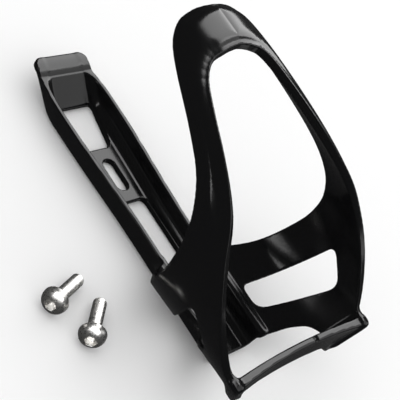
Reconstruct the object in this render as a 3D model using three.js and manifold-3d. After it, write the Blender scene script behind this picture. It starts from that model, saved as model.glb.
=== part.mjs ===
// A moulded water bottle cage with its two loose M5 bolts.
// Millimetres. X runs across the cage, Y up the bottle's axis, and Z away from the bicycle's tube.
// The origin lies on the rear face that meets the frame tube, on the centre line, just below the upper slot.

import * as THREE from 'three'
import { mergeVertices } from 'three/addons/utils/BufferGeometryUtils.js'
import Module from 'manifold-3d'

const wasm = await Module()
wasm.setup()

// Bottle and wall
const BOTTLE_R = 37.4
const WALL = 3.2
const AXIS_Z = 45.4
const SHELL_HEIGHTS = [-95, -88, -79, -70, -61, -52, -43, -35, 30]
const WINDOW_CORNER = 4

// The rear of each wall tucks in towards the bottom of the bottle, and more so outside than inside.
const TUCK_DOWN = [35, 88]
const TUCK_ANGLES = [12, 45]
const TUCK_INSIDE = 1.4
const TUCK_OUTSIDE = 2.8

// Inside, the empty cage's arms pinch in, so that they grip a bottle that pushes them apart.
const PINCH_SIDE = 1.1
const PINCH_TOP = 0.8

// Bolt slots, for bosses at the standard 64 mm pitch
const SLOT_PITCH = 64
const UPPER_SLOT_Y = 10
const SLOT_WIDTH = 5.5
const SLOT_LENGTH = 14.4

// Backbone channel: the pairs are the sizes at the bottom and at the top of its widening.
const PLATE = 2.5
const BACK_HALF = [11.2, 12.8]
const RAIL_HALF = [12.3, 14.8]
const WIDENING = [-22, 36]
const RAIL_TOP = 10.1
const RAIL_WALL = 2.2
const INNER_FILLET = 2.6
const SPINE_BOTTOM = -71
const SPINE_TOP = 62
const TAB_START = 39
const TAB_END = 60
const TAB_RISE = 9.6
const TAB_HALF = 13.1
const UPPER_WINDOW = [[-6.4, 22.5], [6.4, 22.5], [10.3, 42.6], [-10.3, 42.6]]
const LOWER_WINDOW = [[-6.4, -42], [6.4, -42], [6.4, -2.4], [-6.4, -2.4]]
const SPINE_WINDOW_CORNER = 2.5

// Cross bar under the bottle: it is thicker, deeper and lower at its ends.
const BAR_THICK = [2.7, 3.8]
const BAR_FRONT = 32.5
const BAR_DEPTH = [10, 17]
const BAR_MID_Y = -85.1
const BAR_BOW = 2.6
const BAR_TILT = 0.08

// Bolts
const BOLT_R = 2.5
const BOLT_LENGTH = 16
const HEAD_R = 5
const HEAD_HEIGHT = 4.6
const SOCKET_FLATS = 4
const SOCKET_DEPTH = 2.6

const GAP = 0.3

// Wall outlines as [angle, y]: the angle turns about the bottle's axis from the side (0) to the front (90).
const REAR_EDGE = [[-76, -31.5], [-65, -34.3], [-45, -39.7], [-25, -42.6], [-8, -43.8], [8, -41.8], [22, -35.6],
  [33, -25.8], [42, -11.7], [50, 2.7], [58, 14.2], [66, 19.8], [75, 21.8], [90, 22.2], [92, 22.2]]
const FRONT_EDGE = [[-19, -82.8], [-9, -76.4], [0, -70.2], [18.5, -57.1], [37, -42.4], [47, -28.4], [55, -14.4],
  [62, -3.6], [69, 1.6], [79, 3.6], [90, 4.5], [92, 4.5]]
const LEG_AND_HEM = [[-20, -89.6], [-42.5, -89.6], [-43.5, -82], [-47.5, -77.4], [-57, -74.2], [-76, -71.4]]
const SIDE_WINDOW = [[-66.5, -51.2], [-8, -59.6], [-21, -72.2], [-66.5, -62.2]]
const SEAM_ANGLE = 14
const PAST_TOP = 92
const MM_PER_DEGREE = THREE.MathUtils.degToRad(BOTTLE_R)

const plastic = new THREE.MeshStandardMaterial({ color: 0x0a0a0b, roughness: 0.16, metalness: 0 })
const stainless = new THREE.MeshStandardMaterial({ color: 0xb9b6b0, roughness: 0.32, metalness: 1 })

function solid(geometry) {
  geometry.deleteAttribute('normal')
  geometry.deleteAttribute('uv')
  const merged = mergeVertices(geometry, 1e-4)
  return new wasm.Manifold(new wasm.Mesh({
    numProp: 3,
    vertProperties: new Float32Array(merged.attributes.position.array),
    triVerts: new Uint32Array(merged.index.array),
  }))
}

function named(name, body, material) {
  const mesh = body.getMesh()
  const geometry = new THREE.BufferGeometry()
  geometry.setAttribute('position', new THREE.BufferAttribute(new Float32Array(mesh.vertProperties), 3))
  geometry.setIndex(new THREE.BufferAttribute(new Uint32Array(mesh.triVerts), 1))
  geometry.computeVertexNormals()
  const piece = new THREE.Mesh(geometry, material)
  piece.name = name
  return piece
}

// Joins equal rings of points into one closed body, with `capTriangles` over the first and last ring.
function loft(rings, capTriangles) {
  const points = rings.flat(2)
  const n = rings[0].length
  const last = (rings.length - 1) * n
  const index = []
  for (let k = 0; k < rings.length - 1; k++) {
    for (let i = 0; i < n; i++) {
      const a = k * n + i
      const b = k * n + (i + 1) % n
      index.push(a, a + n, b, b, a + n, b + n)
    }
  }
  for (const [a, b, c] of capTriangles) {
    index.push(a, b, c, last + a, last + c, last + b)
  }
  const geometry = new THREE.BufferGeometry()
  geometry.setAttribute('position', new THREE.Float32BufferAttribute(points, 3))
  geometry.setIndex(index)
  const body = solid(geometry)
  if (body.volume() > 0) return body
  for (let i = 0; i < index.length; i += 3) [index[i], index[i + 1]] = [index[i + 1], index[i]]
  geometry.setIndex(index)
  return solid(geometry)
}

// The triangles that fill an outline, wound the way that the outline runs.
function capOf(outline) {
  const contour = outline.map(([x, y]) => new THREE.Vector2(x, y))
  const triangles = THREE.ShapeUtils.triangulateShape(contour, [])
  return THREE.ShapeUtils.isClockWise(contour) ? triangles.map((t) => t.toReversed()) : triangles
}

// A smooth curve through [angle, y] points, sampled at even angles.
function sample(points, from, to, steps) {
  return Array.from({ length: steps + 1 }, (_, i) => {
    const angle = from + (to - from) * i / steps
    let k = 0
    while (k < points.length - 2 && angle > points[k + 1][0]) k++
    const [a0, y0] = points[k]
    const [a1, y1] = points[k + 1]
    const slope = (j) => {
      const before = points[Math.max(j - 1, 0)]
      const after = points[Math.min(j + 1, points.length - 1)]
      return (after[1] - before[1]) / (after[0] - before[0])
    }
    const t = (angle - a0) / (a1 - a0)
    const curve = y0 * (1 + 2 * t) * (1 - t) ** 2 + y1 * t * t * (3 - 2 * t)
      + (a1 - a0) * (slope(k) * t * (1 - t) ** 2 + slope(k + 1) * t * t * (t - 1))
    return [angle, curve]
  })
}

// Rounds the corners of a closed outline of [across, y] points; `scale` is a unit across in millimetres.
function rounded(outline, radius, scale) {
  return outline.flatMap(([across, y], i) => {
    const corner = new THREE.Vector2(across * scale, y)
    const [before, after] = [outline.at(i - 1), outline[(i + 1) % outline.length]]
      .map(([a, b]) => new THREE.Vector2(a * scale, b).sub(corner).setLength(radius).add(corner))
    const curve = new THREE.QuadraticBezierCurve(before, corner, after)
    return curve.getPoints(4).map((p) => [p.x / scale, p.y])
  })
}

// A radial wedge that cuts an outline of [angle, y] points out of the shell; side is 1 or -1.
function wedge(outline, side) {
  const core = BOTTLE_R / 3
  const beyond = 2 * BOTTLE_R
  const ring = (radius) => outline.map(([angle, y]) => {
    const a = THREE.MathUtils.degToRad(angle)
    return [side * radius * Math.cos(a), y, AXIS_Z + radius * Math.sin(a)]
  })
  const inside = BOTTLE_R - TUCK_INSIDE - 0.5
  const outside = BOTTLE_R + WALL + 0.5
  return loft([core, inside, outside, beyond].map(ring), capOf(outline))
}

// The tube around the bottle that the walls and the loop are cut from.
function shell() {
  const [inner, outer] = [BOTTLE_R, BOTTLE_R + WALL]
  const up = SHELL_HEIGHTS.map((y) => new THREE.Vector2(outer, y))
  const down = SHELL_HEIGHTS.toReversed().map((y) => new THREE.Vector2(inner, y))
  const geometry = new THREE.LatheGeometry([...up, ...down, up[0]], 72)
  const points = geometry.attributes.position
  for (let i = 0; i < points.count; i++) {
    const [x, y, z] = [points.getX(i), points.getY(i), points.getZ(i)]
    const radius = Math.hypot(x, z)
    const angle = THREE.MathUtils.radToDeg(Math.atan2(z, Math.abs(x)))
    const tuck = THREE.MathUtils.smoothstep(-y, ...TUCK_DOWN) * THREE.MathUtils.smoothstep(-angle, ...TUCK_ANGLES)
    const arm = Math.max(Math.atan2(z, Math.abs(x)), 0)
    const pinch = PINCH_SIDE * Math.sin(2 * arm) + PINCH_TOP * Math.sin(arm) ** 2
    const inward = radius > inner + WALL / 2 ? tuck * TUCK_OUTSIDE : tuck * TUCK_INSIDE + pinch
    const scale = 1 - inward / radius
    points.setXYZ(i, x * scale, y, z * scale)
  }
  return solid(geometry.translate(0, 0, AXIS_Z))
}

// The channel's section at a height y: back, floor and rails. Grown by `extra`, it is also the
// clearance that the side walls keep to it, with the channel filled.
function spineSection(y, extra, filled) {
  const along = THREE.MathUtils.smoothstep(y, TAB_START, TAB_END)
  const wide = THREE.MathUtils.smoothstep(y, ...WIDENING)
  const back = THREE.MathUtils.lerp(THREE.MathUtils.lerp(...BACK_HALF, wide), TAB_HALF, along)
  const rail = THREE.MathUtils.lerp(THREE.MathUtils.lerp(...RAIL_HALF, wide), TAB_HALF, along)
  const rise = TAB_RISE * along
  const floor = rise + PLATE
  const top = Math.max(RAIL_TOP, floor + 0.05)
  const half = [[back + extra, rise - extra], [rail + extra, top]]
  if (filled) {
    half.push([rail + extra, top + 2 * WALL])
  } else {
    const foot = back - RAIL_WALL
    const fillet = Math.min(INNER_FILLET, (top - floor) / 2)
    half.push([rail - RAIL_WALL, top], [foot, floor + fillet], [foot - INNER_FILLET, floor])
  }
  const right = half.map(([x, z]) => [x, y, z])
  const left = half.toReversed().map(([x, z]) => [-x, y, z])
  return [...right, ...left]
}

function spineLoft(extra, filled) {
  const heights = [SPINE_BOTTOM]
  for (let i = 0; i < 5; i++) heights.push(THREE.MathUtils.lerp(...WIDENING, i / 5))
  for (let i = 0; i <= 8; i++) heights.push(THREE.MathUtils.lerp(TAB_START, TAB_END, i / 8))
  heights.push(SPINE_TOP)
  const rings = heights.map((y) => spineSection(y, extra, filled))
  return loft(rings, capOf(rings[0].map(([x, , z]) => [x, z])))
}

// A cutter along Z through the channel's floor, from a closed outline of [x, y] points.
function opening(outline) {
  const shape = new THREE.Shape(outline.map(([x, y]) => new THREE.Vector2(x, y)))
  const depth = 4 * RAIL_TOP
  return solid(new THREE.ExtrudeGeometry(shape, { depth, bevelEnabled: false }).translate(0, 0, -depth / 2))
}

// A slot with round ends about (0, y).
function slot(y) {
  const radius = SLOT_WIDTH / 2
  const reach = SLOT_LENGTH / 2 - radius
  const steps = 10
  const outline = []
  for (const [start, middle] of [[0, y + reach], [Math.PI, y - reach]]) {
    for (let i = 0; i <= steps; i++) {
      const angle = start + Math.PI * i / steps
      outline.push([radius * Math.cos(angle), middle + radius * Math.sin(angle)])
    }
  }
  return opening(outline)
}

function backbone() {
  let body = spineLoft(0, false)
  for (const y of [UPPER_SLOT_Y, UPPER_SLOT_Y - SLOT_PITCH]) body = body.subtract(slot(y))
  for (const outline of [UPPER_WINDOW, LOWER_WINDOW]) {
    body = body.subtract(opening(rounded(outline, SPINE_WINDOW_CORNER, 1)))
  }
  return body
}

function sideWall(side) {
  const top = sample(REAR_EDGE, -76, SEAM_ANGLE, 18).toReversed()
  const bottom = sample(FRONT_EDGE, -19, SEAM_ANGLE, 8)
  const outline = [...LEG_AND_HEM.toReversed(), ...bottom, ...top]
  return shell()
    .intersect(wedge(outline, side))
    .subtract(wedge(rounded(SIDE_WINDOW, WINDOW_CORNER, MM_PER_DEGREE), side))
    .subtract(spineLoft(GAP, true))
}

function frontLoop() {
  const start = SEAM_ANGLE + GAP / MM_PER_DEGREE
  const outline = [...sample(FRONT_EDGE, start, PAST_TOP, 20), ...sample(REAR_EDGE, start, PAST_TOP, 20).toReversed()]
  return shell().intersect(wedge(outline, 1).add(wedge(outline, -1)))
}

function crossBar() {
  const reach = BOTTLE_R - GAP
  const stations = Array.from({ length: 25 }, (_, i) => (i / 12 - 1) * reach)
  const rings = stations.map((x) => {
    const along = Math.abs(x) / reach
    const y = BAR_MID_Y - BAR_BOW * along ** 2
    const half = THREE.MathUtils.lerp(...BAR_THICK, along ** 2) / 2
    const depth = THREE.MathUtils.lerp(...BAR_DEPTH, THREE.MathUtils.smoothstep(along, 0.45, 0.8))
    const [rear, sag] = [BAR_FRONT - depth, BAR_TILT * depth * (1 - along ** 2)]
    return [[x, y - half, BAR_FRONT], [x, y + half, BAR_FRONT], [x, y + half - sag, rear], [x, y - half - sag, rear]]
  })
  return loft(rings, [[0, 1, 2], [0, 2, 3]]).intersect(bottleRoom())
}

// The space inside the side walls at the height of the cross bar, less the gap to them.
function bottleRoom() {
  const height = 20
  const geometry = new THREE.CylinderGeometry(BOTTLE_R - GAP, BOTTLE_R - GAP, height, 72)
  const points = geometry.attributes.position
  for (let i = 0; i < points.count; i++) {
    const [x, z] = [points.getX(i), points.getZ(i)]
    const angle = THREE.MathUtils.radToDeg(Math.atan2(z, Math.abs(x)))
    const scale = 1 - TUCK_INSIDE * THREE.MathUtils.smoothstep(-angle, ...TUCK_ANGLES) / BOTTLE_R
    points.setX(i, x * scale)
    points.setZ(i, z * scale)
  }
  return solid(geometry.translate(0, BAR_MID_Y, AXIS_Z))
}

// A socket bolt that lies on its side: its axis is level, and its head rests at [x, y].
function bolt(name, x, y, heading) {
  const profile = [[0, 0], [HEAD_R - 0.5, 0], [HEAD_R, 0.5], [HEAD_R, 1.6], [HEAD_R * 0.93, 2.8],
    [HEAD_R * 0.75, 3.9], [HEAD_R * 0.5, HEAD_HEIGHT], [0, HEAD_HEIGHT]].map(([r, h]) => new THREE.Vector2(r, h))
  const head = solid(new THREE.LatheGeometry(profile, 32))
  const tip = 0.6
  const rod = [[0, -BOLT_LENGTH], [BOLT_R - tip, -BOLT_LENGTH], [BOLT_R, tip - BOLT_LENGTH], [BOLT_R, 0.1], [0, 0.1]]
  const shank = solid(new THREE.LatheGeometry(rod.map(([r, h]) => new THREE.Vector2(r, h)), 24))
  const across = SOCKET_FLATS / 2 / Math.cos(Math.PI / 6)
  const socket = solid(new THREE.CylinderGeometry(across, across, 2 * SOCKET_DEPTH, 6).translate(0, HEAD_HEIGHT, 0))
  const piece = named(name, head.add(shank).subtract(socket), stainless)
  piece.position.set(x, y, HEAD_R)
  const tilt = Math.asin((HEAD_R - BOLT_R) / BOLT_LENGTH)
  const pointing = new THREE.Vector3(-Math.cos(heading) * Math.cos(tilt), -Math.sin(heading) * Math.cos(tilt),
    Math.sin(tilt))
  piece.quaternion.setFromUnitVectors(new THREE.Vector3(0, 1, 0), pointing)
  return piece
}

const cage = new THREE.Group()
cage.add(
  named('backbone', backbone(), plastic),
  named('right_wall', sideWall(1), plastic),
  named('left_wall', sideWall(-1), plastic),
  named('front_loop', frontLoop(), plastic),
  named('cross_bar', crossBar(), plastic),
  bolt('upper_bolt', -57.8, -30.1, 0.326),
  bolt('lower_bolt', -52, -45.6, 0.7),
)

export default cage
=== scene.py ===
import math

import bpy
import numpy as np
from mathutils import Matrix, Vector


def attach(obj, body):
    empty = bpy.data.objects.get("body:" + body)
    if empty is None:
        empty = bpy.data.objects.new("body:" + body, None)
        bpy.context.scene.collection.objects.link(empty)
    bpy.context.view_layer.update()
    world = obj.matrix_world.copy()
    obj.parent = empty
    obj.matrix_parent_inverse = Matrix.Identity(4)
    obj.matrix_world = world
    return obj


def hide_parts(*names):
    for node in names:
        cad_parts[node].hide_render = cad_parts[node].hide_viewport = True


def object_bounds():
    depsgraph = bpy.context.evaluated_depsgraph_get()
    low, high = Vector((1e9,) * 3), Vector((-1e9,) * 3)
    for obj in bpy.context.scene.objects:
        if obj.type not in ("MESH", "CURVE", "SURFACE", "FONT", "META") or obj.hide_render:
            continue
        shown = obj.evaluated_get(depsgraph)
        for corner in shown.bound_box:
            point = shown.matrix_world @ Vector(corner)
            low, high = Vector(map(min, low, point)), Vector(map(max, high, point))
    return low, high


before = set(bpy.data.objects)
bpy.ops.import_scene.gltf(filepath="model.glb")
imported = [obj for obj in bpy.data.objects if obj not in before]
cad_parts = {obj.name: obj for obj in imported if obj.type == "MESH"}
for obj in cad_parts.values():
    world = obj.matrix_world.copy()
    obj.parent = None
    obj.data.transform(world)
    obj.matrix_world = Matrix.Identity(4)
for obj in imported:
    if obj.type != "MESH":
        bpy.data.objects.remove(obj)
cad_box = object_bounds()

# The cage and its bolts are drawn as smooth distance fields in millimetres, in the CAD's own axes, and
# meshed in metres. A field is negative inside the solid, and it is nearly the distance to the surface.
METRE = 0.001

# Bottle and wall
BOTTLE_R = 37.4
WALL = 3.2
AXIS_Z = 45.4

# Inside, the empty cage's arms pinch in, so that they grip a bottle that pushes them apart. Outside they
# are crowned between their edges.
PINCH_SIDE, PINCH_TOP = 1.1, 0.8
CROWN = 1.5
CROWN_REACH = 3
ARM_ANGLES = (0, 35)

# The rear of each wall tucks in towards the bottom of the bottle, and more so outside than inside.
TUCK_Y = (-35, -88)
TUCK_ANGLES = (-12, -45)
TUCK_INSIDE, TUCK_OUTSIDE = 1.4, 2.8
WALL_EDGE_R = 0.5
LEG_BOTTOM = -89.6
LEG_EDGE_R = 2.4
ALONG = math.radians(BOTTLE_R)  # millimetres along the wall per degree

# Backbone channel
PLATE = 2.5
# Half widths at the back and at the rails' tops, below and above where the channel widens
BACK_HALF = (11.2, 12.8)
RAIL_HALF = (12.3, 14.8)
WIDENING_Y = (-22, 36)
RAIL_TOP = 10.1
RAIL_WALL = 2.2
SPINE_BOTTOM, SPINE_TOP = -71, 62
TAB_START, TAB_END = 39, 60
TAB_RISE = 9.6
TAB_HALF = 13.1
TAB_CORNER = 4
SPINE_EDGE_R = 0.6
BACK_EDGE_R = 2.4
INNER_FILLET = 4
UPPER_SLOT_Y = 10
SLOT_PITCH = 64
SLOT_HALF = (2.75, 7.2)
# Each window as (its y range, its half width at either end)
SPINE_WINDOWS = (((22.5, 42.6), (6.4, 10.3)), ((-42, -2.4), (6.4, 6.4)))
WINDOW_CORNER = 2.5

# Cross bar
# Thickness and depth at the middle and at the ends
BAR_THICK = (2.7, 3.8)
BAR_DEPTH = (10, 17)
BAR_FRONT = 32.5
BAR_MID_Y = -85.1
BAR_BOW = 2.6
BAR_TILT = 0.08
BAR_DEEPENING = (0.45, 0.8)
BAR_EDGE_R = 0.7

# A round dimple in the bar's front, centred a little in front of it
DIMPLE = (8.6, -85)
DIMPLE_R = 1.3
DIMPLE_LIFT = 0.5

# The fillets between wall, backbone and bar, and how close to the middle the wall starts
JOIN = 3.0
WALL_START_X = 10.8

# Wall outlines as (angle, y): the angle turns about the bottle's axis from the back (-90) to the front (90).
REAR_EDGE = ((-95, -28), (-80, -30.5), (-65, -34.3), (-45, -39.7), (-25, -42.6), (-8, -43.8), (8, -41.8),
             (22, -35.6), (33, -25.8), (42, -11.7), (50, 2.7), (58, 14.2), (66, 19.8), (75, 21.8), (90, 22.2),
             (95, 22.1))
FRONT_EDGE = ((-19, -82.8), (-9, -76.4), (0, -70.2), (18.5, -57.1), (37, -42.4), (47, -28.4), (55, -14.4),
              (62, -3.6), (69, 1.6), (79, 3.6), (90, 4.5), (95, 4.5))
LEG_AND_HEM = ((-20, LEG_BOTTOM), (-42.5, LEG_BOTTOM), (-43.5, -82), (-47.5, -77.4), (-57, -74.2),
               (-76, -71.4), (-95, -70.5))
SIDE_WINDOW = ((-66.5, -51.2), (-8, -59.6), (-21, -72.2), (-66.5, -62.2))
OUTLINE_CORNER = 2.2
OUTLINE_CORNER_STEPS = 4
SIDE_WINDOW_CORNER = 4
CURVE_STEP = 2.5

# Bolts: M5 x 16, with a 0.8 mm pitch; each lies at (x, y, heading in radians) of its head's underside
BOLT_R = 2.5
BOLT_LENGTH = 16
THREAD_PITCH = 0.8
THREAD_DEPTH = 0.45
THREAD_START = 1.2
THREAD_SCALE = 0.85  # makes up for the thread's slope, so that its field stays nearly a distance
TIP_CHAMFER = 0.8
TIP_EDGE_R = 0.1
HEAD_R = 5
HEAD_HEIGHT = 4.6
HEAD_EDGE_R = 0.3
DOME_R = 5.5972
DOME_EDGE_R = 0.8
NECK_FILLET = 0.4
NECK_OVERLAP = 0.5
SOCKET_FLATS = 4
SOCKET_DEPTH = 2.6
SOCKET_EDGE_R = 0.15
BOLT_MARGIN = 0.5
BOLTS = {"upper_bolt": (-57.8, -30.1, 0.326), "lower_bolt": (-52, -45.6, 0.7)}

# Meshing: the grid's steps and the cage's grid bounds in millimetres, and the reaches over which a field's
# slope is measured, in grid steps
CAGE_STEP = 0.6
BOLT_STEP = 0.16
CAGE_LOW = (-43, -91, -1.5)
CAGE_HIGH = (43, 64, AXIS_Z + BOTTLE_R + WALL + CROWN + 1.5)
BLOCK = 8
SMOOTHING_ROUNDS = 3
MOVE_REACH = 0.02
NORMAL_REACH = 0.25
LEAST_SLOPE = 0.2


# ---- Field tools ----

def smooth_step(low, high, value):
    t = np.clip((value - low) / (high - low), 0, 1)
    return t * t * (3 - 2 * t)


def mix(a, b, t):
    return a + (b - a) * t


def joined(a, b, reach):
    """Both solids, with a fillet of about the given reach where they meet."""
    t = np.clip(0.5 + 0.5 * (b - a) / reach, 0, 1)
    return mix(b, a, t) - reach * t * (1 - t)


def both(a, b, radius):
    """What is inside both fields, with the edge between them rounded."""
    a = a + radius
    b = b + radius
    return np.minimum(np.maximum(a, b), 0) + np.hypot(np.maximum(a, 0), np.maximum(b, 0)) - radius


def box2(x, y, half_x, half_y, corner):
    """A rectangle about (0, 0) with round corners."""
    across = np.abs(x) - half_x + corner
    up = np.abs(y) - half_y + corner
    outside = np.hypot(np.maximum(across, 0), np.maximum(up, 0))
    return np.minimum(np.maximum(across, up), 0) + outside - corner


def segment(x, y, ax, ay, bx, by):
    """The distance from (x, y) to a straight piece from a to b."""
    dx, dy = bx - ax, by - ay
    t = np.clip(((x - ax) * dx + (y - ay) * dy) / (dx * dx + dy * dy + 1e-9), 0, 1)
    return np.hypot(x - ax - t * dx, y - ay - t * dy)


def polygon(points, x, y):
    """The signed distance to a closed outline."""
    inside = np.zeros(x.shape, bool)
    nearest = np.full(x.shape, np.inf)
    for (ax, ay), (bx, by) in zip(points, np.roll(points, -1, axis=0)):
        nearest = np.minimum(nearest, segment(x, y, ax, ay, bx, by))
        if ay != by:
            inside ^= ((ay > y) != (by > y)) & (x < ax + (y - ay) * (bx - ax) / (by - ay))
    return np.where(inside, -nearest, nearest)


def curve(points):
    """A smooth curve through (angle, y) points, as points at even angles."""
    angles, heights = np.array(points, float).T
    slopes = np.gradient(heights, angles)
    slopes[0], slopes[-1] = [(heights[k + 1] - heights[k]) / (angles[k + 1] - angles[k]) for k in (0, -2)]
    at = np.linspace(angles[0], angles[-1], int((angles[-1] - angles[0]) / CURVE_STEP) + 1)
    k = np.clip(np.searchsorted(angles, at, "right") - 1, 0, len(angles) - 2)
    width = angles[k + 1] - angles[k]
    t = (at - angles[k]) / width
    y = (heights[k] * (1 + 2 * t) * (1 - t) ** 2 + heights[k + 1] * t * t * (3 - 2 * t)
         + width * (slopes[k] * t * (1 - t) ** 2 + slopes[k + 1] * t * t * (t - 1)))
    return np.column_stack([at, y])


def rounded(points, radius, steps=6):
    """Rounds each corner of a closed outline of (along, y) points in millimetres."""
    out = []
    count = len(points)
    for k, corner in enumerate(points):
        ends = []
        for other in (points[k - 1], points[(k + 1) % count]):
            reach = other - corner
            length = np.hypot(*reach)
            ends.append(corner + reach * min(radius / length, 0.5))
        for t in np.linspace(0, 1, steps):
            out.append(ends[0] * (1 - t) ** 2 + 2 * corner * t * (1 - t) + ends[1] * t * t)
    return np.array(out)


# ---- Surface from a field ----

def slopes_of(field, points, reach, value=None):
    """The field's slope along each axis: one-sided where the value at the points is given."""
    slopes = []
    for axis in range(3):
        ahead = points.copy()
        ahead[:, axis] += reach
        if value is None:
            behind = points.copy()
            behind[:, axis] -= reach
            slopes.append((field(*ahead.T) - field(*behind.T)) / (2 * reach))
        else:
            slopes.append((field(*ahead.T) - value) / reach)
    return np.column_stack(slopes)


def moved_onto(field, points, step):
    """The points, each moved along the field's slope by at most one step to the surface."""
    value = field(*points.T)
    slopes = slopes_of(field, points, step * MOVE_REACH, value)
    length = np.maximum(np.linalg.norm(slopes, axis=1, keepdims=True), LEAST_SLOPE)
    return points - slopes / length * np.clip(value[:, None] / length, -step, step)


def sampled(field, low, shape, step):
    """The field on a grid, worked out only in the blocks that the surface may pass through."""
    size = BLOCK * step
    corner = np.stack(np.meshgrid(*[np.arange(n) for n in shape], indexing="ij"), -1).reshape(-1, 3)
    middle = field(*(low + (corner + 0.5) * size).T)
    values = np.ones(shape * BLOCK + 1, np.float32)
    local = np.stack(np.meshgrid(*[np.arange(BLOCK + 1)] * 3, indexing="ij"), -1).reshape(-1, 3)
    for cell, value in zip(corner, middle):
        first = cell * BLOCK
        window = tuple(slice(a, a + BLOCK + 1) for a in first)
        if abs(value) < size:
            at = low + (first + local) * step
            values[window] = field(*at.T).reshape((BLOCK + 1,) * 3)
        elif value < 0:
            values[window] = -1
    return values


def surface(field, low, high, step):
    """Quads on the field's surface: one point in each grid cell that it crosses, moved onto it."""
    low = np.array(low, float)
    shape = np.ceil((np.array(high) - low) / (BLOCK * step)).astype(int)
    inside = sampled(field, low, shape, step) < 0
    corners = [inside[i:i - 1 or None, j:j - 1 or None, k:k - 1 or None]
               for i in (0, 1) for j in (0, 1) for k in (0, 1)]
    total = sum(c.astype(np.int8) for c in corners)
    crossed = (total > 0) & (total < 8)
    number = np.full(crossed.shape, -1)
    number[crossed] = np.arange(crossed.sum())
    points = low + (np.argwhere(crossed) + 0.5) * step
    quads = []
    for axis in range(3):
        order = [axis, (axis + 1) % 3, (axis + 2) % 3]
        a = inside.transpose(order)[:, 1:-1, 1:-1]
        cells = number.transpose(order)
        ring = [cells[:, :-1, :-1], cells[:, 1:, :-1], cells[:, 1:, 1:], cells[:, :-1, 1:]]
        for leaving in (True, False):
            hit = (a[:-1] & ~a[1:]) if leaving else (~a[:-1] & a[1:])
            quad = np.column_stack([c[hit] for c in ring])
            quads.append(quad if leaving else quad[:, ::-1])
    quads = np.concatenate(quads)
    starts = quads.ravel()
    ends = np.roll(quads, -1, axis=1).ravel()
    neighbours = np.bincount(starts, minlength=len(points))[:, None]
    for _ in range(SMOOTHING_ROUNDS):
        points = moved_onto(field, points, step)
        mean = np.column_stack([np.bincount(starts, points[ends, i], len(points)) for i in range(3)])
        points = mix(points, mean / neighbours, 0.5)
    for _ in range(SMOOTHING_ROUNDS):
        points = moved_onto(field, points, step)
    slopes = slopes_of(field, points, step * NORMAL_REACH)
    return points, quads, slopes / np.linalg.norm(slopes, axis=1, keepdims=True)


def piece_from(name, field, low, high, step, place=None):
    points, quads, normals = surface(field, low, high, step)
    mesh = bpy.data.meshes.new(name)
    mesh.from_pydata(points * METRE, [], quads)
    if place is not None:
        mesh.transform(place)
        normals = normals @ np.array(place.to_3x3()).T
    mesh.shade_smooth()
    mesh.normals_split_custom_set_from_vertices(normals)
    piece = bpy.data.objects.new(name, mesh)
    bpy.context.collection.objects.link(piece)
    return piece


# ---- The cage ----

def wall_outline():
    """The closed outline of a wall, in millimetres, with its leg's and hem's corners rounded."""
    front = curve(FRONT_EDGE)
    rear = curve(REAR_EDGE)[::-1]
    outline = np.concatenate([np.array(LEG_AND_HEM)[::-1], front, rear]) * (ALONG, 1)
    hem = len(LEG_AND_HEM)
    cornered = rounded(outline, OUTLINE_CORNER, OUTLINE_CORNER_STEPS)[:OUTLINE_CORNER_STEPS * (hem + 1)]
    return np.concatenate([cornered, outline[hem + 1:]])


OUTLINE = wall_outline()
WINDOW_OUTLINE = rounded(np.array(SIDE_WINDOW) * (ALONG, 1), SIDE_WINDOW_CORNER)


def wall(x, y, z):
    radius = np.hypot(x, z - AXIS_Z)
    angle = np.degrees(np.arctan2(z - AXIS_Z, x))
    edge = np.maximum(polygon(OUTLINE, angle * ALONG, y), -polygon(WINDOW_OUTLINE, angle * ALONG, y))
    edge = np.maximum(edge, np.where(z < AXIS_Z, WALL_START_X - x, edge))
    arm = np.radians(np.maximum(angle, 0))
    pinch = PINCH_SIDE * np.sin(2 * arm) + PINCH_TOP * np.sin(arm) ** 2
    tuck = smooth_step(*TUCK_Y, y) * smooth_step(*TUCK_ANGLES, angle)
    inner = BOTTLE_R - pinch - TUCK_INSIDE * tuck
    crown = CROWN * smooth_step(*ARM_ANGLES, angle) * (1 - np.exp(-(np.minimum(edge, 0) / CROWN_REACH) ** 2))
    outer = BOTTLE_R + WALL - pinch + crown - TUCK_OUTSIDE * tuck
    skin = np.maximum(inner - radius, both(radius - outer, LEG_BOTTOM - y, LEG_EDGE_R))
    return both(edge, skin, WALL_EDGE_R)


def spine(x, y, z):
    along = smooth_step(TAB_START, TAB_END, y)
    wide = smooth_step(*WIDENING_Y, y)
    back = mix(mix(*BACK_HALF, wide), TAB_HALF, along)
    top = mix(mix(*RAIL_HALF, wide), TAB_HALF, along)
    height = z - TAB_RISE * along
    full = np.maximum(RAIL_TOP - TAB_RISE * along, PLATE)
    outer = mix(back, top, np.clip(height / full, 0, 1))
    back_edge = mix(BACK_EDGE_R, SPINE_EDGE_R, along)
    hull = both(both(x - outer, -height, back_edge), height - full, SPINE_EDGE_R)
    hollow = both(x - outer + RAIL_WALL, PLATE - height, INNER_FILLET)
    channel = both(hull, -hollow, SPINE_EDGE_R)
    middle = (SPINE_TOP + SPINE_BOTTOM) / 2
    corner = np.where(y > middle, TAB_CORNER, SPINE_EDGE_R)
    plan = box2(x, y - middle, top, (SPINE_TOP - SPINE_BOTTOM) / 2, corner)
    holes = [box2(x, y - UPPER_SLOT_Y + pitch, *SLOT_HALF, SLOT_HALF[0]) for pitch in (0, SLOT_PITCH)]
    for (low, high), (start, end) in SPINE_WINDOWS:
        half = mix(start, end, np.clip((y - low) / (high - low), 0, 1))
        holes.append(box2(x, y - (low + high) / 2, half, (high - low) / 2, WINDOW_CORNER))
    solid = both(channel, plan, SPINE_EDGE_R)
    return both(solid, -np.minimum.reduce(holes), SPINE_EDGE_R)


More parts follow.
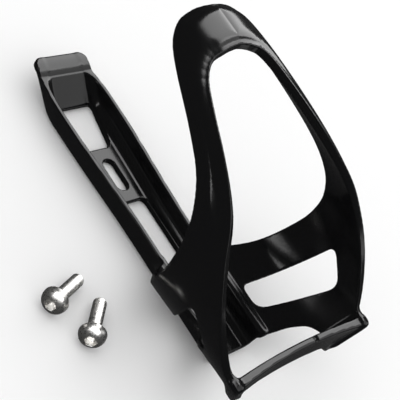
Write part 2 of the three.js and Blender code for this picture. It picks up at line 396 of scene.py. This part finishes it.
def bar(x, y, z):
    along = x / BOTTLE_R
    middle = BAR_MID_Y - BAR_BOW * along ** 2 - BAR_TILT * (BAR_FRONT - z) * (1 - along ** 2)
    thick = np.abs(y - middle) - mix(*BAR_THICK, along ** 2) / 2
    rear = BAR_FRONT - mix(*BAR_DEPTH, smooth_step(*BAR_DEEPENING, along))
    plan = np.maximum(z - BAR_FRONT, rear - z)
    plan = np.maximum(plan, np.hypot(x, z - AXIS_Z) - BOTTLE_R - WALL / 2)
    return both(thick, plan, BAR_EDGE_R)


def cage(x, y, z):
    side = np.abs(x)
    solid = joined(wall(side, y, z), spine(side, y, z), JOIN)
    solid = joined(solid, bar(side, y, z), JOIN)
    ahead = z - BAR_FRONT - DIMPLE_LIFT
    dimple = np.sqrt((x - DIMPLE[0]) ** 2 + (y - DIMPLE[1]) ** 2 + ahead ** 2) - DIMPLE_R
    return np.maximum(solid, -dimple)


# ---- A bolt along the Y axis, with its tip towards -Y and its head's underside at 0 ----

def bolt(x, y, z):
    radius = np.hypot(x, z)
    turn = np.arctan2(z, x) / (2 * math.pi)
    phase = np.mod(y / THREAD_PITCH - turn, 1)
    cut = THREAD_DEPTH * (1 - np.abs(2 * phase - 1)) * smooth_step(0, THREAD_START, -y)
    taper = np.maximum(-BOLT_LENGTH + TIP_CHAMFER - y, 0)
    shank = both((radius - BOLT_R + cut) * THREAD_SCALE, -BOLT_LENGTH - y, TIP_EDGE_R)
    shank = np.maximum(shank, radius - BOLT_R + taper)
    dome = np.hypot(radius, y - HEAD_HEIGHT + DOME_R) - DOME_R
    head = both(both(radius - HEAD_R, -y, HEAD_EDGE_R), dome, DOME_EDGE_R)
    flats = np.maximum.reduce([np.abs(x * math.cos(a) + z * math.sin(a)) for a in np.radians((0, 60, 120))])
    socket = np.maximum(flats - SOCKET_FLATS / 2, HEAD_HEIGHT - SOCKET_DEPTH - y)
    solid = joined(head, np.maximum(shank, y - NECK_OVERLAP), NECK_FILLET)
    return both(solid, -socket, SOCKET_EDGE_R)


def bolt_place(x, y, heading):
    """Lays a bolt on the floor: its axis leans down to the tip by the head's extra radius."""
    tilt = math.asin((HEAD_R - BOLT_R) / BOLT_LENGTH)
    level = math.cos(tilt)
    pointing = Vector((-math.cos(heading) * level, -math.sin(heading) * level, math.sin(tilt)))
    turn = Vector((0, 1, 0)).rotation_difference(pointing).to_matrix().to_4x4()
    return Matrix.Translation(Vector((x, y, HEAD_R)) * METRE) @ turn


# ---- Materials ----

BLACK = (0.0035, 0.0035, 0.0038, 1)
PLASTIC_IOR = 1.5
PLASTIC_ROUGHNESS = (0.10, 0.17)
STEEL_DARK = (0.62, 0.61, 0.59, 1)
STEEL_LIGHT = (0.88, 0.87, 0.85, 1)
STEEL_ROUGHNESS = (0.24, 0.4)
PAPER = (0.9, 0.9, 0.9, 1)
PAPER_ROUGHNESS = 0.9
NOISE_MIDDLE = (0.35, 0.65)


def material(name):
    made = bpy.data.materials.new(name)
    made.use_nodes = True
    nodes = made.node_tree.nodes
    return made, nodes, made.node_tree.links, nodes["Principled BSDF"]


def noise(nodes, links, scale, detail):
    place = nodes.new("ShaderNodeTexCoord")
    made = nodes.new("ShaderNodeTexNoise")
    made.inputs["Scale"].default_value = scale
    made.inputs["Detail"].default_value = detail
    links.new(place.outputs["Object"], made.inputs["Vector"])
    return made.outputs["Fac"]


def spread(nodes, links, source, low, high):
    """The noise's middle part, spread from low to high."""
    made = nodes.new("ShaderNodeMapRange")
    made.inputs["From Min"].default_value, made.inputs["From Max"].default_value = NOISE_MIDDLE
    made.inputs["To Min"].default_value = low
    made.inputs["To Max"].default_value = high
    links.new(source, made.inputs["Value"])
    return made.outputs["Result"]


def bump(nodes, links, shader, source, strength, distance):
    made = nodes.new("ShaderNodeBump")
    made.inputs["Strength"].default_value = strength
    made.inputs["Distance"].default_value = distance
    links.new(source, made.inputs["Height"])
    links.new(made.outputs["Normal"], shader.inputs["Normal"])


def gloss_plastic():
    made, nodes, links, shader = material("cage_plastic")
    shader.inputs["Base Color"].default_value = BLACK
    shader.inputs["IOR"].default_value = PLASTIC_IOR
    patches = noise(nodes, links, scale=60, detail=3)
    links.new(spread(nodes, links, patches, *PLASTIC_ROUGHNESS), shader.inputs["Roughness"])
    bump(nodes, links, shader, noise(nodes, links, scale=900, detail=2), strength=0.04, distance=0.0002)
    return made


def stainless():
    made, nodes, links, shader = material("bolt_steel")
    shader.inputs["Metallic"].default_value = 1
    ramp = nodes.new("ShaderNodeValToRGB")
    ramp.color_ramp.elements[0].color = STEEL_DARK
    ramp.color_ramp.elements[1].color = STEEL_LIGHT
    links.new(noise(nodes, links, scale=700, detail=4), ramp.inputs["Fac"])
    links.new(ramp.outputs["Color"], shader.inputs["Base Color"])
    patches = noise(nodes, links, scale=1500, detail=3)
    links.new(spread(nodes, links, patches, *STEEL_ROUGHNESS), shader.inputs["Roughness"])
    bump(nodes, links, shader, noise(nodes, links, scale=6000, detail=3), strength=0.08, distance=0.00005)
    return made


# ---- Stage: the camera, the floor and the lights, in metres ----

AIM = Vector((0.0193, -0.0151, 0.0137))
AZIMUTH, ELEVATION, ROLL = [math.radians(angle) for angle in (200.32, 40.18, 42.71)]
DISTANCE = 0.4116
LENS = 97
CLIP_START = 0.01
FLOOR_HALF = 1.5
FLOOR_DROP = 0.0002
WORLD_LIGHT = 1.12
WORLD_IN_REFLECTIONS = 0.05

# Softboxes as (direction, distance, size, watts, aim), in metres
MIDDLE = (Vector(cad_box[0]) + Vector(cad_box[1])) / 2
SOFTBOXES = {
    "key": ((0.72, 0.28, 0.66), 0.7, (0.5, 0.7), 3.6, MIDDLE),
    "low_key": ((0.72, -0.42, 0.6), 0.7, (0.45, 0.7), 0.9, MIDDLE),
    "fill": ((-0.80, 0.28, 0.53), 0.6, (0.06, 0.25), 0.14, (-0.031, -0.045, 0.069)),
    "edge": ((0.60, -0.48, -0.64), 1.05, (0.22, 0.4), 0.08, (0, 0.01, 0.08)),
    "bolt_top": ((-0.25, -0.15, 0.95), 0.5, (0.8, 0.6), 6, MIDDLE),
}


def add_camera():
    towards = Vector((math.cos(ELEVATION) * math.cos(AZIMUTH), math.cos(ELEVATION) * math.sin(AZIMUTH),
                      math.sin(ELEVATION)))
    level = Vector((-math.sin(AZIMUTH), math.cos(AZIMUTH), 0))
    upright = towards.cross(level)
    right = level * math.cos(ROLL) + upright * math.sin(ROLL)
    turn = Matrix((right, towards.cross(right), towards)).transposed()
    camera = bpy.data.objects.new("camera", bpy.data.cameras.new("camera"))
    bpy.context.collection.objects.link(camera)
    camera.data.lens = LENS
    camera.data.clip_start = CLIP_START
    camera.matrix_world = Matrix.Translation(AIM + towards * DISTANCE) @ turn.to_4x4()
    bpy.context.scene.camera = camera


def add_floor():
    corners = [(x * FLOOR_HALF, y * FLOOR_HALF, 0) for x, y in ((-1, -1), (1, -1), (1, 1), (-1, 1))]
    mesh = bpy.data.meshes.new("floor")
    mesh.from_pydata(corners, [], [(0, 1, 2, 3)])
    floor = bpy.data.objects.new("floor", mesh)
    floor.location.z = -FLOOR_DROP
    bpy.context.collection.objects.link(floor)
    made, _, _, shader = material("floor_paper")
    shader.inputs["Base Color"].default_value = PAPER
    shader.inputs["Roughness"].default_value = PAPER_ROUGHNESS
    mesh.materials.append(made)
    floor.visible_glossy = False
    floor.visible_shadow = False


def add_softbox(name, towards, distance, size, power, aim):
    """A lamp that shows in reflections only, at a distance from the point it aims at."""
    lamp = bpy.data.lights.new(name, "AREA")
    lamp.shape = "RECTANGLE"
    lamp.size, lamp.size_y = size
    lamp.energy = power
    box = bpy.data.objects.new(name, lamp)
    direction = Vector(towards).normalized()
    box.location = Vector(aim) + direction * distance
    box.rotation_euler = direction.to_track_quat("Z", "Y").to_euler()
    box.visible_diffuse = False
    bpy.context.collection.objects.link(box)
    return box


def add_world():
    world = bpy.data.worlds.new("studio")
    bpy.context.scene.world = world
    world.use_nodes = True
    nodes, links = world.node_tree.nodes, world.node_tree.links
    path = nodes.new("ShaderNodeLightPath")
    dim = nodes.new("ShaderNodeMapRange")
    dim.inputs["To Min"].default_value = WORLD_LIGHT
    dim.inputs["To Max"].default_value = WORLD_IN_REFLECTIONS
    links.new(path.outputs["Is Glossy Ray"], dim.inputs["Value"])
    links.new(dim.outputs["Result"], nodes["Background"].inputs["Strength"])
    nodes["Background"].inputs["Color"].default_value = (1, 1, 1, 1)
    bpy.context.scene.view_settings.view_transform = "Standard"


add_camera()
add_world()
add_floor()
lamps = {name: add_softbox(name, *how) for name, how in SOFTBOXES.items()}
bolts_only = bpy.data.collections.new("bolts_only")
lamps["bolt_top"].light_linking.receiver_collection = bolts_only

black = gloss_plastic()
steel = stainless()

body = piece_from("cage", cage, CAGE_LOW, CAGE_HIGH, CAGE_STEP)
body.data.materials.append(black)
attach(body, "cage")
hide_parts("backbone", "right_wall", "left_wall", "front_loop", "cross_bar")

bolt_reach = HEAD_R + BOLT_MARGIN
bolt_low = (-bolt_reach, -BOLT_LENGTH - BOLT_MARGIN, -bolt_reach)
bolt_high = (bolt_reach, HEAD_HEIGHT + BOLT_MARGIN, bolt_reach)
for node, where in BOLTS.items():
    piece = piece_from("steel_" + node, bolt, bolt_low, bolt_high, BOLT_STEP, bolt_place(*where))
    piece.data.materials.append(steel)
    bolts_only.objects.link(piece)
    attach(piece, node)
    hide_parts(node)
